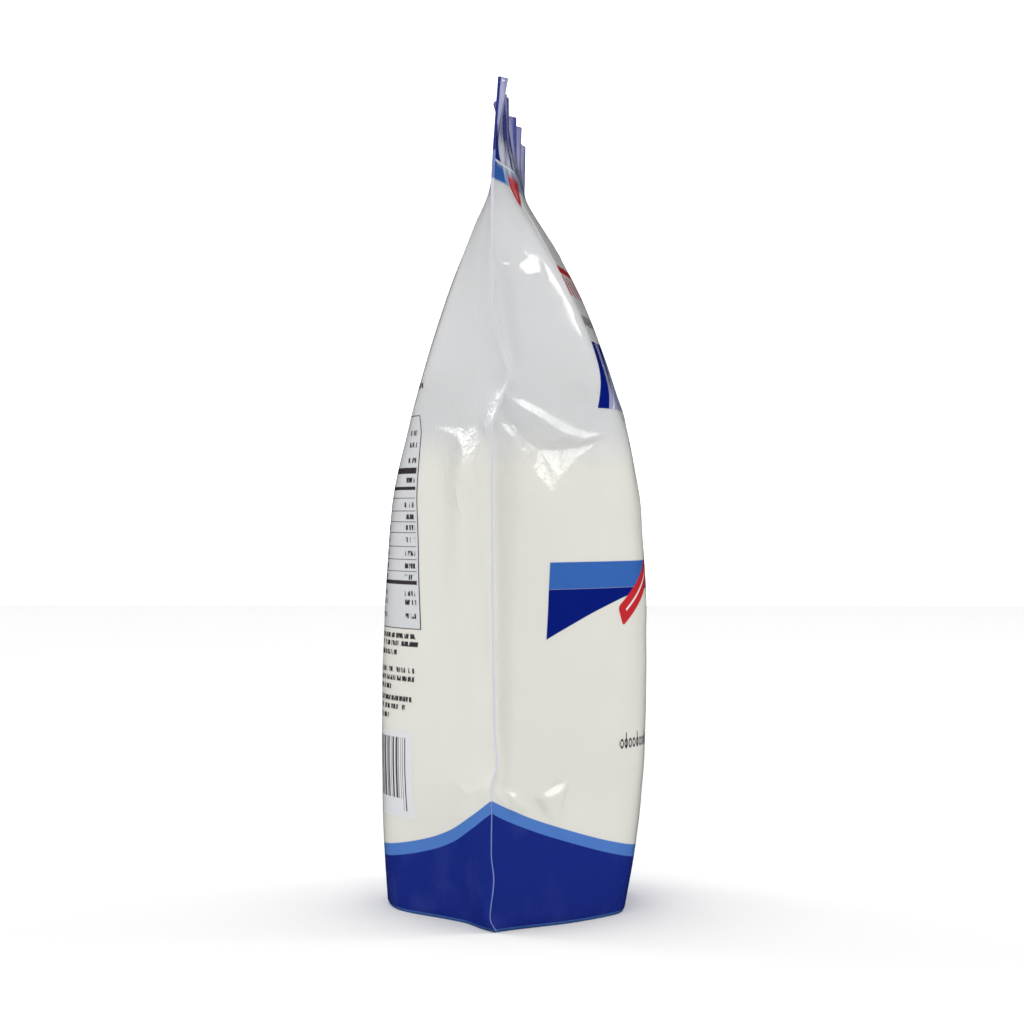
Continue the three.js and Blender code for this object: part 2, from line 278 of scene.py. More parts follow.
# ---- relief ----
# Folded facets: corners (s, z, height), with the triangles between them. Where
# the film lies over the edge of the flour it breaks into such flat facets.
FRONT_DENT = {
    "corners": [
        (-82.5, 151.8, 0), (-68.6, 149.4, 0), (-61, 147, 0), (-46.5, 142.3, 0), (-29, 141, 0),
        (-77, 148.8, 1.0), (-66, 144.6, 1.6), (-55, 140.2, 1.5), (-46, 138.9, 1.0),
        (-78.8, 147.4, -0.9), (-73, 142.2, -0.9), (-68.6, 138.7, -1.3), (-64, 136.8, -1.7),
        (-56, 136.4, -1.8), (-48, 137.2, -0.9), (-41.5, 138.6, -0.5), (-82.2, 144.6, 0),
        (-76.3, 139.6, 0.8), (-72.6, 134.8, 0.6), (-67.8, 129.8, 0), (-61.8, 123.8, 0), (-58, 128.2, 0),
        (-51, 132.9, 0), (-42, 137, 0), (-80.5, 137, 0), (-77, 129, 0),
    ],
    "facets": [
        (0, 1, 5), (1, 6, 5), (1, 2, 6), (2, 7, 6), (2, 3, 7), (3, 8, 7), (3, 4, 8), (0, 5, 9),
        (5, 10, 9), (5, 6, 10), (6, 11, 10), (6, 12, 11), (6, 7, 12), (7, 13, 12), (7, 8, 13),
        (8, 14, 13), (8, 15, 14), (8, 4, 15), (0, 9, 16), (9, 10, 16), (10, 17, 16), (10, 11, 17),
        (11, 18, 17), (11, 12, 18), (12, 19, 18), (12, 20, 19), (12, 21, 20), (12, 13, 21),
        (13, 22, 21), (13, 14, 22), (14, 23, 22), (14, 15, 23), (15, 4, 23), (16, 17, 24), (17, 25, 24),
        (17, 18, 25), (18, 19, 25),
    ],
}
BACK_DENT = {
    "corners": [
        (-34, 142.9, 0), (-48, 143.2, 0), (-60, 143.0, 0), (-71, 142.8, 0), (-75.5, 138.5, 0),
        (-48, 141.6, 0.6), (-59, 139.6, 1.0), (-66, 136.4, 1.2), (-69.5, 131.5, 1.1),
        (-70.5, 127.5, 0.6), (-74, 131.5, 0.4), (-72, 124, 0.2), (-62, 128, 0.5), (-54, 134, 0.5),
        (-42, 139, 0.3), (-78, 126, 0), (-68, 116, 0), (-52, 122, 0), (-38, 132, 0),
    ],
    "facets": [
        (0, 1, 5), (1, 6, 5), (1, 2, 6), (2, 7, 6), (2, 3, 7), (3, 8, 7), (3, 4, 8), (4, 10, 8),
        (10, 9, 8), (10, 11, 9), (8, 9, 12), (7, 8, 12), (6, 7, 13), (7, 12, 13), (5, 6, 13),
        (5, 13, 14), (0, 5, 14), (9, 11, 12), (10, 15, 11), (15, 16, 11), (11, 16, 12), (12, 16, 17),
        (12, 17, 13), (13, 17, 18), (13, 18, 14), (14, 18, 0),
    ],
}
FAR_FACETS = [
    (0, 1, 3), (1, 4, 3), (1, 2, 4), (0, 3, 5), (3, 4, 5), (4, 6, 5), (4, 2, 6), (0, 5, 7), (5, 8, 7),
    (5, 6, 8), (6, 9, 8), (6, 2, 9),
]
FAR_FRONT_DENT = {
    "corners": [
        (82.5, 147, 0), (60, 145, 0), (38, 139, 0), (70, 141, 0.9), (55, 139, 1.0), (72, 137, -1.4),
        (58, 133, -1.8), (82.5, 137, 0), (66, 121, 0), (50, 130, 0),
    ],
    "facets": FAR_FACETS,
}
FAR_BACK_DENT = {
    "corners": [
        (82.5, 152, 0), (56, 147, 0), (30, 141, 0), (68, 144, 1.0), (50, 141, 0.9), (70, 139, -1.6),
        (54, 134, -1.7), (82.5, 143, 0), (60, 121, 0), (42, 131, 0),
    ],
    "facets": FAR_FACETS,
}
SHOULDER_DENT = {
    "corners": [
        (-70, 188.2, 0), (-64, 189.4, 0), (-57, 189.9, 0), (-66.3, 185.4, 0.7), (-60, 187.2, 0.4),
        (-73, 182, 0), (-66, 176, 0), (-55, 183, 0), (-80, 188.9, 0), (-75.5, 188.4, 0),
        (-72.4, 188.2, 0), (-75.6, 187.0, 0.6), (-77, 183, 0),
    ],
    "facets": [
        (0, 1, 3), (1, 4, 3), (1, 2, 4), (0, 3, 5), (3, 6, 5), (3, 7, 6), (3, 4, 7), (2, 7, 4),
        (8, 9, 11), (9, 10, 11), (8, 11, 12), (11, 10, 12),
    ],
}
FOOT_DENT = {
    "corners": [
        (-65.5, 36.8, 0.7), (-58.5, 40.4, -0.5), (-51.5, 41.4, 0), (-55, 38.2, 0.8), (-61, 36.0, 1.1),
        (-59, 27, 0), (-78.5, 40, 0), (-73, 39, 0), (-74.6, 36.4, 1.0), (-74.5, 31, 0), (-68, 33, 0),
    ],
    "facets": [
        (0, 1, 4), (1, 3, 4), (1, 2, 3), (0, 4, 5), (4, 3, 5), (3, 2, 5), (6, 7, 8), (6, 8, 9),
        (7, 10, 8), (8, 10, 9),
    ],
}
DENTS = {
    "front": [FRONT_DENT, SHOULDER_DENT, FOOT_DENT, FAR_FRONT_DENT],
    "back": [BACK_DENT, FAR_BACK_DENT],
}

# Creases: lines on the film that stand out (or, below zero, sink in). Each is
# a chain of (s, z) points, then its height and its half width.
CREASES = {
    "front": [
        ([(-82.3, 40.6), (-79, 37.2), (-75.6, 34.4)], 0.6, 0.9),
        ([(-78.6, 147.8), (-75.5, 143.5), (-73.2, 139.6)], 0.5, 0.6),
        ([(-61.4, 163.8), (-50, 157), (-39.2, 150.2)], 0.35, 1.6),
        ([(-52, 208), (-48.5, 201), (-46.5, 190), (-46.5, 176)], 0.25, 1.1),
        ([(-70, 30), (-67, 22), (-63, 16)], 0.35, 0.8),
        ([(-62, 27), (-59.5, 18), (-60.5, 11)], -0.3, 0.9),
        ([(-54, 24), (-50, 17), (-44, 13)], 0.3, 0.8),
        ([(68, 190), (60, 188.5), (52, 190)], 0.5, 1.0),
        ([(78, 40), (68, 36), (56, 38), (46, 42)], 0.8, 1.2),
        ([(-20, 199), (0, 196), (24, 199.5)], 0.4, 2.2),
        ([(-8, 152), (6, 146), (18, 148)], 0.35, 1.6),
    ],
    "back": [
        ([(-64.6, 125.1), (-66.3, 119.9), (-69, 116.8)], 0.35, 0.5),
        ([(-74.4, 134), (-74.8, 130.5)], 0.3, 0.45),
        ([(-68, 110.3), (-67.7, 109.3)], 0.3, 0.5),
        ([(-78.6, 146), (-77.2, 143.6), (-79.6, 139.8)], 0.5, 0.6),
        ([(-66.5, 175.5), (-71, 172), (-80, 169.3)], 0.2, 0.5),
        ([(-60, 41), (-70, 38), (-79, 41)], 0.35, 1.4),
        ([(-30, 26), (-26, 17), (-27, 9)], 0.4, 1.2),
        ([(48, 41), (62, 36), (79, 39)], 0.7, 1.2),
        ([(50, 166), (66, 160), (80, 158)], 0.4, 1.4),
        ([(-10, 150), (8, 147), (30, 150)], 0.35, 1.8),
    ],
}
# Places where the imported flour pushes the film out.
SWELLS = {
    "front": [{"at": (-64, 122), "across": 14, "above": 13, "below": 30, "height": 2.6}],
    "back": [{"at": (-68, 126), "across": 13, "above": 12, "below": 30, "height": 2.8}],
}
SWELL_EDGE = 9.0  # a swell dies out this far from the weld
# Long soft channels beside the welds.
CHANNELS = {
    "front": [
        {"across": 78.6, "width": 2.8, "depth": 1.7, "bottom": 36.0, "top": 139.0},
        {"across": 77.0, "width": 3.4, "depth": 1.3, "bottom": 149.0, "top": 196.0},
    ],
    "back": [{"across": 76.0, "width": 3.6, "depth": 0.7, "bottom": 60.0, "top": 128.0}],
}
CHANNEL_FADE = 14.0
CREASE_ENDS = 0.08  # a crease still has a little height at its two ends
CREASE_PROFILE = 1.5  # power of its cross-section: 2 is a soft bell, 1 a sharp edge
# Seeded sums of waves, in mm: height, number of waves, longest, shortest, seed.
SLACK_WAVES = {"height": 0.2, "count": 7, "longest": 60, "shortest": 24, "seed": 11}
PACKED_WAVES = {"height": 0.12, "count": 9, "longest": 45, "shortest": 14, "seed": 29}
WELD_PUCKERS = {"height": 0.14, "count": 5, "longest": 12, "shortest": 6, "seed": 43}
PUCKER_SQUEEZE = 0.4  # puckers are longer across the film than along the weld


def facet_relief(dent, s, z):
    """Height of a folded patch: flat on each of its facets, none outside them."""
    height = np.zeros_like(s)
    done = np.zeros(s.shape, bool)
    corners = np.asarray(dent["corners"], float)
    for facet in dent["facets"]:
        (ax, ay, ah), (bx, by, bh), (cx, cy, ch) = corners[list(facet)]
        area = (bx - ax) * (cy - ay) - (cx - ax) * (by - ay)
        weight_b = ((s - ax) * (cy - ay) - (cx - ax) * (z - ay)) / area
        weight_c = ((bx - ax) * (z - ay) - (s - ax) * (by - ay)) / area
        weight_a = 1 - weight_b - weight_c
        inside = (weight_a >= 0) & (weight_b >= 0) & (weight_c >= 0) & ~done
        height = np.where(inside, weight_a * ah + weight_b * bh + weight_c * ch, height)
        done |= inside
    return height


def distance_to_chain(points, s, z):
    """Distance to a chain of segments, and the place along it from 0 to 1."""
    best = np.full(s.shape, np.inf)
    place = np.zeros_like(s)
    count = len(points) - 1
    for i, ((ax, ay), (bx, by)) in enumerate(zip(points[:-1], points[1:])):
        length_squared = (bx - ax) ** 2 + (by - ay) ** 2
        t = clamp01(((s - ax) * (bx - ax) + (z - ay) * (by - ay)) / length_squared)
        distance = np.hypot(s - ax - t * (bx - ax), z - ay - t * (by - ay))
        nearer = distance < best
        best = np.where(nearer, distance, best)
        place = np.where(nearer, (i + t) / count, place)
    return best, place


def crease_relief(side, s, z):
    height = np.zeros_like(s)
    for points, crest, width in CREASES[side]:
        distance, place = distance_to_chain(points, s, z)
        taper = np.sin(math.pi * (CREASE_ENDS + (1 - 2 * CREASE_ENDS) * place))
        height += crest * taper * np.exp(-((distance / width) ** CREASE_PROFILE))
    return height


def channel_relief(side, s, z):
    height = np.zeros_like(s)
    for channel in CHANNELS[side]:
        off = (np.abs(s) - channel["across"]) / channel["width"]
        begun = smooth((z - channel["bottom"]) / CHANNEL_FADE)
        left = smooth((channel["top"] - z) / CHANNEL_FADE)
        height -= channel["depth"] * begun * left * np.exp(-off * off)
    return height


def swell_relief(side, s, z):
    height = np.zeros_like(s)
    for swell in SWELLS[side]:
        across = (s - swell["at"][0]) / swell["across"]
        up = z - swell["at"][1]
        up = up / np.where(up > 0, swell["above"], swell["below"])
        height += swell["height"] * np.exp(-across * across - up * up)
    return height * smooth((HALF_FILM - np.abs(s)) / SWELL_EDGE)


def random_waves(side, s, z, waves):
    """Seeded sum of soft waves of about the stated height; the back has its own seed."""
    rng = np.random.default_rng(waves["seed"] + (side == "back"))
    total = np.zeros_like(s)
    for _ in range(waves["count"]):
        length = rng.uniform(waves["shortest"], waves["longest"])
        direction = rng.uniform(0, math.pi)
        phase = rng.uniform(0, 2 * math.pi)
        run = s * math.cos(direction) + z * math.sin(direction)
        total += np.sin(2 * math.pi * run / length + phase)
    return waves["height"] * total / math.sqrt(waves["count"])


def undulation(side, s, z):
    """Slack film over air, packed flour under film, and small puckers at the welds."""
    from_weld = HALF_FILM - np.abs(s)
    over_air = smooth((z - 140) / 20) * smooth((FIN_BASE - z) / 18)
    over_flour = smooth((z - 6) / 20) * smooth((150 - z) / 20)
    near_weld = np.exp(-from_weld / 6) * smooth(from_weld / 1.5)
    slack = over_air * random_waves(side, s, z, SLACK_WAVES)
    packed = over_flour * random_waves(side, s, z, PACKED_WAVES)
    puckers = near_weld * random_waves(side, PUCKER_SQUEEZE * s, z, WELD_PUCKERS)
    return smooth(from_weld / 10) * (slack + packed) + puckers


def relief(side, s, z):
    height = crease_relief(side, s, z) + channel_relief(side, s, z) + undulation(side, s, z)
    height += swell_relief(side, s, z)
    for dent in DENTS[side]:
        height += facet_relief(dent, s, z)
    return height


# ---- film points ----


def fin_wave(x, z):
    grown = clamp01((z - FIN_WAVES_FROM) / (BAG_HEIGHT - FIN_WAVES_FROM))
    ripple = FIN_RIPPLE["height"] * np.sin(2 * math.pi * x / FIN_RIPPLE["length"])
    return grown * (along(FIN_WAVES, "offset", x) + ripple)


def base_bow(q, z):
    across = smooth(q / BASE_BOW["full_from"]) * smooth((1 - q) / BASE_BOW["end_share"])
    return BASE_BOW["depth"] * across * smooth(1 - z / BASE_BOW["top"])


def film_points(side, s, z, outset):
    """Points on the front or back film, outset mm outside its middle surface."""
    outward = -1.0 if side == "front" else 1.0
    q, end = np.abs(s) / HALF_FILM, np.sign(s)
    x, drop, heading = (look_up(name, q, z) for name in ("x", "drop", "heading"))
    front, back = along(BULGE, "front", z), along(BULGE, "back", z)
    middle = (back - front) / 2
    near = s < 0
    drift = np.where(near, along(NEAR_WELD, "drift", z), along(FAR_WELD, "drift", z))
    slow = np.where(near, along(NEAR_WELD, "slow", z), along(FAR_WELD, "slow", z))
    pull = (slow - middle) * smooth((q - WELD_PULL_FROM) / (1 - WELD_PULL_FROM))
    pull += (drift - slow) * smooth((q - WELD_WOBBLE_FROM) / (1 - WELD_WOBBLE_FROM))
    bump = relief(side, s, z) + outset
    px = end * (x + bump * np.sin(heading))
    bulge = (front + back) / 2 - drop + bump * np.cos(heading)
    py = middle + pull - base_bow(q, z) + outward * bulge + fin_wave(px, z)
    return np.stack([px, py, z], axis=-1)


# ---- mesh maker ----


def put(name, data, at=(0, 0, 0)):
    """Links a new object to the scene."""
    thing = bpy.data.objects.new(name, data)
    thing.location = at
    bpy.context.scene.collection.objects.link(thing)
    return thing


class MeshMaker:
    """Gathers points and faces, with the film coordinates of each face corner."""

    def __init__(self):
        self.points = []
        self.count = 0
        self.faces = []
        self.corner_uv = []

    def add(self, points):
        """Takes a row or grid of points and gives their numbers, in the same layout."""
        first = self.count
        self.points.append(points.reshape(-1, 3))
        self.count += len(self.points[-1])
        return np.arange(first, self.count).reshape(points.shape[:-1])

    def face(self, corners, uv):
        self.faces.append([int(corner) for corner in corners])
        self.corner_uv.append(np.asarray(uv, float).reshape(-1, 2))

    def grid(self, index, uv=None, flip=False):
        """Quads over a grid of point numbers; a side that has shrunk to a point is left out."""
        if uv is None:
            uv = np.zeros(index.shape + (2,))
        before, after = slice(None, -1), slice(1, None)
        around = ((before, before), (before, after), (after, after), (after, before))
        quads = np.stack([index[corner] for corner in around], axis=-1).reshape(-1, 4)
        places = np.stack([uv[corner] for corner in around], axis=2).reshape(-1, 4, 2)
        if flip:
            quads, places = quads[:, ::-1], places[:, ::-1]
        whole = (quads != np.roll(quads, -1, axis=1)).all(axis=1)
        self.faces.extend(quads[whole].tolist())
        self.corner_uv.append(places[whole].reshape(-1, 2))
        for corners, spots in zip(quads[~whole], places[~whole]):
            kept = corners != np.roll(corners, -1)
            if kept.sum() > 2:
                self.face(corners[kept], spots[kept])

    def build(self, name):
        mesh = bpy.data.meshes.new(name)
        mesh.from_pydata((np.concatenate(self.points) * MM).tolist(), [], self.faces)
        layer = mesh.uv_layers.new(name="film")
        layer.data.foreach_set("uv", (np.concatenate(self.corner_uv) * MM).ravel())
        mesh.shade_smooth()
        mesh.validate()
        return put(name, mesh)


BACK_U = 200.0  # the back film's s is stored with this added, so that it can be told apart
BASE_U = 400.0  # and the gusset's with this


def film_uv(side, s, z):
    shift = {"front": 0.0, "back": BACK_U, "base": BASE_U}[side]
    return np.stack([s + shift, z], axis=-1)


def spread(bands):
    """Places in steps that differ from band to band."""
    places = [bands[0]]
    for end, step in bands[1:]:
        start = places[-1]
        count = max(1, round((end - start) / step))
        places.extend(start + (end - start) * (i + 1) / count for i in range(count))
    return np.array(places)


# The steps are finest round the dents.
COLUMN_BANDS = [-HALF_FILM, (-70, 0.6), (-44, 0.85), (0, 2.4), (50, 2.3), (72, 1.6), (HALF_FILM, 1.2)]
LOW_BANDS = [FOLD_RADIUS, (30, 1.9), (44, 0.7), (118, 2.6), (156, 0.7)]
HIGH_BANDS = [(183, 2.0), (192, 0.7), (216, 2.0), (BAG_HEIGHT, 1.3)]
COLUMNS = spread(COLUMN_BANDS)
ROWS = spread(LOW_BANDS + HIGH_BANDS)
BASE_STRIPS = 20
INNER_FLANGE = -0.4  # the inner surface ends this far short of the welds
INNER_TOP_GAP = 1.5  # and this far below the fin


def bridge(front, back, strips):
    """Points between a front row and a back row, and their share of the way across."""
    share = np.linspace(0, 1, strips + 1)[1:-1, None, None]
    return front[None] * (1 - share) + back[None] * share, share[..., 0]


def gusset_height(x, share, half_length):
    outwards = smooth((np.abs(x) - GUSSET_FLAT) / (half_length - GUSSET_FLAT - FOLD_RADIUS))
    end_fade = smooth((half_length - np.abs(x)) / GUSSET_END)
    return GUSSET_RELIEF * outwards * end_fade * (1 - np.abs(2 * share - 1))


def closed_skin(maker, rows, outset, flange, floor, flip=False):
    """Adds one closed surface: walls front and back, the gusset below, the top edge."""
    s, z = np.meshgrid(COLUMNS, rows)
    front = film_points("front", s, z, outset)
    back = film_points("back", s, z, outset)
    tips = []
    for column, end in ((0, -1), (-1, 1)):
        tip = (front[:, column] + back[:, column]) / 2
        tip[:, 0] += end * flange
        tips.append(tip)
    # The lowest ring is the wall drawn in by the rounding of the fold.
    reach = abs(tips[0][0, 0])
    shrink = 1 - FOLD_RADIUS / reach

    def folded(ring):
        low = ring[0] * np.array([shrink, shrink, 0.0])
        low[..., 2] = floor
        return np.concatenate([low[None], ring])

    front, back = folded(front), folded(back)
    near, far = (folded(tip) for tip in tips)
    front_index, back_index = maker.add(front), maker.add(back)
    near_index, far_index = maker.add(near), maker.add(far)
    heights = np.concatenate([[0.0], rows])
    around = np.concatenate([[-HALF_FILM - flange], COLUMNS, [HALF_FILM + flange]])
    uv_s, uv_z = np.meshgrid(around, heights)
    front_all = np.column_stack([near_index, front_index, far_index])
    back_all = np.column_stack([near_index, back_index, far_index])
    maker.grid(front_all, film_uv("front", uv_s, uv_z), flip)
    maker.grid(back_all, film_uv("back", uv_s, uv_z), not flip)
    top = np.stack([front_all[-1], back_all[-1]])
    top_uv = np.stack([film_uv("front", around, around * 0 + rows[-1])] * 2)
    maker.grid(top, top_uv, flip)
    add_base(maker, front[0], back[0], front_all[0], back_all[0], around, floor, flip)


def add_base(maker, front, back, front_all, back_all, around, floor, flip):
    """The opened gusset: flat in the middle, tented a little towards the welds."""
    half_length = np.abs(front[:, 0]).max()
    inner, share = bridge(front, back, BASE_STRIPS)
    inner[..., 2] = floor + gusset_height(inner[..., 0], share, half_length)
    inner_index = maker.add(inner)
    near_end = np.full(len(inner_index), front_all[0])
    far_end = np.full(len(inner_index), front_all[-1])
    closed = np.column_stack([near_end, inner_index, far_end])
    index = np.vstack([front_all, closed, back_all])
    depth = np.linspace(-GUSSET_DEPTH / 2, GUSSET_DEPTH / 2, len(index))
    uv_s, uv_z = np.meshgrid(around, depth)
    maker.grid(index, film_uv("base", uv_s, uv_z), not flip)


def make_film():
    """The bag's skin: an outer surface and, inside it, an inner one."""
    maker = MeshMaker()
    closed_skin(maker, ROWS, FILM_PAIR / 2, WELD_FLANGE, 0.0)
    inner_rows = ROWS[ROWS < FIN_BASE - INNER_TOP_GAP]
    inset = FILM_PAIR / 2 - FILM_THICKNESS
    closed_skin(maker, inner_rows, inset, INNER_FLANGE, FILM_THICKNESS, flip=True)
    return maker.build("film")


# ---- contents ----
FLOUR_GAP = 0.5  # between the inside of the film and the flour
FLOUR_LEVEL = {"front": 133.0, "back": 142.0}
FLOUR_AT_WELD = 146.0
FLOUR_CORNER = {"from": 52.0, "over": 28.0}  # where the level climbs to the welds
FLOUR_HALF = HALF_FILM - 4.2  # the flour doesn't fill the narrow ends
FLOUR_COLUMNS = spread([-FLOUR_HALF, (-40, 1.6), (40, 3.0), (FLOUR_HALF, 2.2)])
FLOUR_WALL_ROWS = 64
FLOUR_TOP_STRIPS = 34
FLOUR_FOOT_STRIPS = 12
FLOUR_FOOT_SHARE = 0.97  # the lowest ring of the flour, drawn in like the fold
FLOUR_TENT = 1.1  # the flour's underside is tented this much more than the gusset
FLOUR_SAG = 2.0  # how far the middle of the heap lies under its edge
ROW_PITCH = 2.0  # height given to a row in the flour's map
LEVEL_WAVES = {"height": 1.1, "count": 6, "longest": 40, "shortest": 9, "seed": 57}
LUMP_WAVES = {"height": 1.5, "count": 12, "longest": 34, "shortest": 7, "seed": 71}
LUMP_STRETCH = 1.3


def flour_level(side, s):
    """Height at which the flour leaves the film; it is heaped up in the corners."""
    corner = smooth((np.abs(s) - FLOUR_CORNER["from"]) / FLOUR_CORNER["over"])
    level = FLOUR_LEVEL[side] * (1 - corner) + FLOUR_AT_WELD * corner
    return level + random_waves(side, s, s * 0, LEVEL_WAVES)


def make_flour():
    """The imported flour: walls just inside the film, a lumpy top and a tented foot."""
    maker = MeshMaker()
    outset = FILM_PAIR / 2 - FILM_THICKNESS - FLOUR_GAP
    walls, indices = {}, {}
    for side in ("front", "back"):
        top = flour_level(side, FLOUR_COLUMNS)
        t = np.linspace(0, 1, FLOUR_WALL_ROWS)[:, None]
        z = FOLD_RADIUS + t * (top[None, :] - FOLD_RADIUS)
        s = np.broadcast_to(FLOUR_COLUMNS, z.shape).copy()
        wall = film_points(side, s, z, outset)
        foot = wall[0] * np.array([FLOUR_FOOT_SHARE, FLOUR_FOOT_SHARE, 0.0])
        foot[:, 2] = FILM_THICKNESS + FLOUR_GAP
        walls[side] = np.concatenate([foot[None], wall])
        indices[side] = maker.add(walls[side])
    rows = np.arange(FLOUR_WALL_ROWS + 1)
    uv = np.stack(np.meshgrid(FLOUR_COLUMNS, rows * ROW_PITCH), axis=-1)
    maker.grid(indices["front"], uv)
    maker.grid(indices["back"], uv, flip=True)
    for column, flip in ((0, True), (-1, False)):
        edge = np.stack([indices["front"][:, column], indices["back"][:, column]], axis=1)
        maker.grid(edge, flip=flip)
    add_flour_top(maker, walls, indices)
    add_flour_foot(maker, walls, indices)
    return maker.build("flour")


def add_flour_top(maker, walls, indices):
    inner, share = bridge(walls["front"][-1], walls["back"][-1], FLOUR_TOP_STRIPS)
    lumps = random_waves("front", inner[..., 0], inner[..., 1] * LUMP_STRETCH, LUMP_WAVES)
    inner[..., 2] += np.sin(math.pi * share) * (lumps - FLOUR_SAG)
    maker.grid(np.vstack([indices["front"][-1], maker.add(inner), indices["back"][-1]]))


def add_flour_foot(maker, walls, indices):
    inner, share = bridge(walls["front"][0], walls["back"][0], FLOUR_FOOT_STRIPS)
    half_length = np.abs(walls["front"][0][:, 0]).max()
    tent = gusset_height(inner[..., 0], share, half_length)
    inner[..., 2] = FILM_THICKNESS + FLOUR_GAP + tent * FLOUR_TENT
    maker.grid(np.vstack([indices["front"][0], maker.add(inner), indices["back"][0]]), flip=True)


# ---- welds ----
BEAD_SIDES = 10
BEAD_ROWS = spread([0.4, (60, 1.2), (BAG_HEIGHT - 0.1, 1.6)])
BEAD_LUMP = 0.35  # share of its radius by which a bead swells and thins
BEAD_AVERAGE = 5  # rows over which a lump is evened out
BEAD_FLATTENING = 0.6
BEAD_IN_BAND = 0.4  # the bead is thinner where the film is printed blue
BEAD_SEEDS = {-1: 5, 1: 6}


def make_weld(name, end):
    """The melted, slightly lumpy edge along one side of the bag."""
    maker = MeshMaker()
    s = np.full_like(BEAD_ROWS, end * HALF_FILM)
    front = film_points("front", s, BEAD_ROWS, FILM_PAIR / 2)
    back = film_points("back", s, BEAD_ROWS, FILM_PAIR / 2)
    path = (front + back) / 2
    path[:, 0] += end * WELD_FLANGE
    rng = np.random.default_rng(BEAD_SEEDS[end])
    draws = rng.uniform(-1, 1, len(path) + BEAD_AVERAGE - 1)
    lumps = np.convolve(draws, np.ones(BEAD_AVERAGE) / BEAD_AVERAGE, mode="valid")
    band_top = BAND_LOW + BAND_RISE
    share = np.interp(BEAD_ROWS, [band_top - 1, band_top + 2], [BEAD_IN_BAND, 1])
    radius = WELD_BEAD_RADIUS * (1 + BEAD_LUMP * lumps) * share
    angle = np.linspace(0, 2 * math.pi, BEAD_SIDES, endpoint=False)
    ring = np.stack([BEAD_FLATTENING * np.cos(angle), np.sin(angle), 0 * angle], axis=-1)
    tube = path[:, None] + radius[:, None, None] * ring[None]
    index = maker.add(tube)
    wrapped = np.column_stack([index, index[:, 0]])
    uv_s = np.broadcast_to(np.linspace(-0.5, 0.5, BEAD_SIDES + 1), wrapped.shape)
    uv_z = np.broadcast_to(BEAD_ROWS[:, None], wrapped.shape)
    uv = np.stack([uv_s + end * HALF_FILM, uv_z], axis=-1)
    maker.grid(wrapped, uv)
    for row, flip in ((0, True), (-1, False)):
        corners = index[row][::-1] if flip else index[row]
        maker.face(corners, [(end * HALF_FILM, float(BEAD_ROWS[row]))] * BEAD_SIDES)
    return maker.build(name)


# ---- shader formulas ----


class Formula:
    """A shader value that can be used in formulas; each sign makes one Math node."""

    def __init__(self, tree, socket):
        self.tree = tree
        self.socket = socket

    def apply(self, operation, *others, clamp=False):
        node = self.tree.nodes.new("ShaderNodeMath")
        node.operation = operation
        node.use_clamp = clamp
        for slot, value in zip(node.inputs, (self, *others)):
            if isinstance(value, Formula):
                self.tree.links.new(value.socket, slot)
            else:
                slot.default_value = float(value)
        return Formula(self.tree, node.outputs[0])

    def __add__(self, other):
        return self.apply("ADD", other)

    def __sub__(self, other):
        return self.apply("SUBTRACT", other)

    def __rsub__(self, other):
        return (self * -1) + other

    def __mul__(self, other):
        return self.apply("MULTIPLY", other)

    def __truediv__(self, other):
        return self.apply("DIVIDE", other)

    def __abs__(self):
        return self.apply("ABSOLUTE")

    def either(self, other):
        return self.apply("MAXIMUM", other)

    def both(self, other):
        return self.apply("MINIMUM", other)

    def root(self):
        return self.apply("SQRT")

    def repeat(self, period):
        """The distance to the nearest multiple of the period."""
        return self.apply("PINGPONG", period / 2)

    def above(self, edge, blur=INK_EDGE):
        """1 where the value is over the edge, 0 below it, with a soft change over blur."""
        return self.apply("MULTIPLY_ADD", 1 / blur, 0.5 - edge / blur, clamp=True)

    def below(self, edge, blur=INK_EDGE):
        return self.above(edge, -blur)

    def within(self, low, high, blur=INK_EDGE):
        return self.above(low, blur).both(self.below(high, blur))

    def near(self, place, half_width, blur=INK_EDGE):
        return abs(self - place).below(half_width, blur)


def linear(red, green, blue):
    """Shader colour of an 8-bit screen colour."""
    channels = []
    for value in (red, green, blue):
        share = value / 255
        channels.append(share / 12.92 if share <= 0.04045 else ((share + 0.055) / 1.055) ** 2.4)
    return (*channels, 1.0)


class Painter:
    """Lays colours over each other in a material, each through a mask."""

    def __init__(self, tree, ground):
        self.tree = tree
        self.cover = None
        node = tree.nodes.new("ShaderNodeRGB")
        node.outputs[0].default_value = ground
        self.colour = node.outputs[0]

    def lay(self, colour, mask, opaque=1.0):
        mix = self.tree.nodes.new("ShaderNodeMix")
        mix.data_type = "RGBA"
        self.tree.links.new(mask.socket, mix.inputs["Factor"])
        self.tree.links.new(self.colour, mix.inputs[6])
        mix.inputs[7].default_value = colour
        self.colour = mix.outputs[2]
        inked = mask * opaque
        self.cover = inked if self.cover is None else self.cover.either(inked)


def noise(tree, coordinates, scale, detail, stretch=None):
    """Noise over a coordinate socket, as a formula."""
    source = coordinates
    if stretch:
        mapping = tree.nodes.new("ShaderNodeMapping")
        mapping.inputs["Scale"].default_value = stretch
        tree.links.new(coordinates, mapping.inputs["Vector"])
        source = mapping.outputs["Vector"]
    node = tree.nodes.new("ShaderNodeTexNoise")
    node.inputs["Scale"].default_value = scale
    node.inputs["Detail"].default_value = detail
    tree.links.new(source, node.inputs["Vector"])
    return Formula(tree, node.outputs["Fac"])


def object_coordinates(tree):
    return tree.nodes.new("ShaderNodeTexCoord").outputs["Object"]


def new_material(name):
    material = bpy.data.materials.new(name)
    material.use_nodes = True
    tree = material.node_tree
    tree.nodes.clear()
    shader = tree.nodes.new("ShaderNodeBsdfPrincipled")
    output = tree.nodes.new("ShaderNodeOutputMaterial")
    tree.links.new(shader.outputs["BSDF"], output.inputs["Surface"])
    return material, tree, shader


